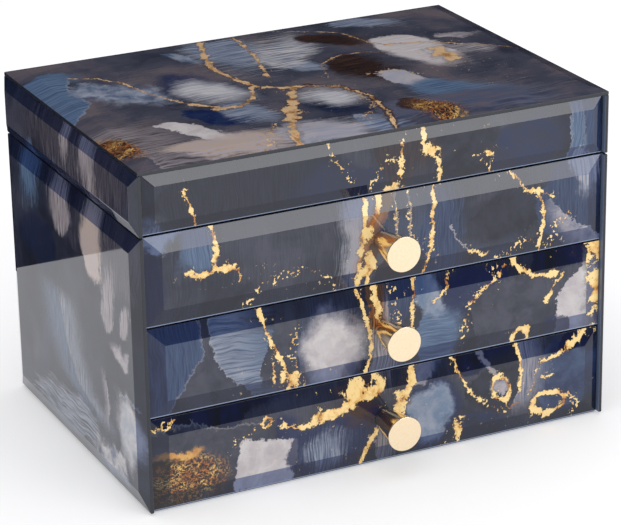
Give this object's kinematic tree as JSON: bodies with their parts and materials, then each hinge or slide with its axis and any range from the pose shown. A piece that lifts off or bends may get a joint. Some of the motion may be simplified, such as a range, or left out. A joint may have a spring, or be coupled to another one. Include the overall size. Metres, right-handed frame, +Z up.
{
  "type": "jewelry gift box",
  "caption": "Rectangular jewelry box clad in back-printed bevelled glass, with a hinged mirrored lid over a lined tray and sliding drawers with conical brass knobs.",
  "frame": {"origin": "centre of the felt underside that the box stands on", "axes": "+X to the right as seen from the front, +Y from the drawer fronts to the hinged back, +Z up"},
  "size_m": [0.241, 0.1906, 0.166],
  "materials": {
    "printed_glass": "4 mm clear glass with polished bevels, printed on the back in a slate, navy and gold marbled pattern",
    "wrapped_board": "fibreboard wrapped in dark navy suede paper",
    "velvet": "dark navy short-pile velvet",
    "felt": "black pressed felt",
    "mirror": "silvered glass",
    "brass": "polished",
    "steel": "bright zinc-plated"
  },
  "bodies": {
    "cabinet": {"base_felt": "felt", "base_board": "wrapped_board", "left_side_board": "wrapped_board", "right_side_board": "wrapped_board", "back_board": "wrapped_board", "left_side_glass": "printed_glass", "right_side_glass": "printed_glass", "back_glass": "printed_glass", "lower_shelf": "wrapped_board", "upper_shelf": "wrapped_board", "tray_floor": "wrapped_board", "tray_front_rail": "wrapped_board", "tray_liner": "velvet", "tray_divider": "velvet", "ring_cushion": "velvet", "left_hinge_cabinet_leaf": "brass", "left_hinge_pin": "steel", "right_hinge_cabinet_leaf": "brass", "right_hinge_pin": "steel"},
    "lid": {"lid_top_glass": "printed_glass", "lid_front_glass": "printed_glass", "lid_back_glass": "printed_glass", "lid_left_glass": "printed_glass", "lid_right_glass": "printed_glass", "lid_panel": "wrapped_board", "lid_left_board": "wrapped_board", "lid_right_board": "wrapped_board", "lid_front_board": "wrapped_board", "lid_back_board": "wrapped_board", "lid_mirror": "mirror", "lid_mirror_frame": "velvet", "left_hinge_lid_leaf": "brass", "right_hinge_lid_leaf": "brass"},
    "drawer_1": {"drawer_1_front_glass": "printed_glass", "drawer_1_front_board": "wrapped_board", "drawer_1_left_side": "wrapped_board", "drawer_1_right_side": "wrapped_board", "drawer_1_back": "wrapped_board", "drawer_1_bottom": "wrapped_board", "drawer_1_liner": "velvet", "drawer_1_knob": "brass", "drawer_1_knob_screw": "steel"},
    "drawer_2": {"drawer_2_front_glass": "printed_glass", "drawer_2_front_board": "wrapped_board", "drawer_2_left_side": "wrapped_board", "drawer_2_right_side": "wrapped_board", "drawer_2_back": "wrapped_board", "drawer_2_bottom": "wrapped_board", "drawer_2_liner": "velvet", "drawer_2_knob": "brass", "drawer_2_knob_screw": "steel"},
    "drawer_3": {"drawer_3_front_glass": "printed_glass", "drawer_3_front_board": "wrapped_board", "drawer_3_left_side": "wrapped_board", "drawer_3_right_side": "wrapped_board", "drawer_3_back": "wrapped_board", "drawer_3_bottom": "wrapped_board", "drawer_3_liner": "velvet", "drawer_3_knob": "brass", "drawer_3_knob_screw": "steel"}
  },
  "joints": [
    {"name": "lid_hinge", "type": "hinge", "parent": "cabinet", "child": "lid", "pos_m": [0, 0.08515, 0.1332], "axis": [-1, 0, 0], "range_deg": [0, 95]},
    {"name": "drawer_1_slide", "type": "slide", "parent": "cabinet", "child": "drawer_1", "axis": [0, -1, 0], "range_m": [0, 0.11]},
    {"name": "drawer_2_slide", "type": "slide", "parent": "cabinet", "child": "drawer_2", "axis": [0, -1, 0], "range_m": [0, 0.11]},
    {"name": "drawer_3_slide", "type": "slide", "parent": "cabinet", "child": "drawer_3", "axis": [0, -1, 0], "range_m": [0, 0.11]}
  ]
}
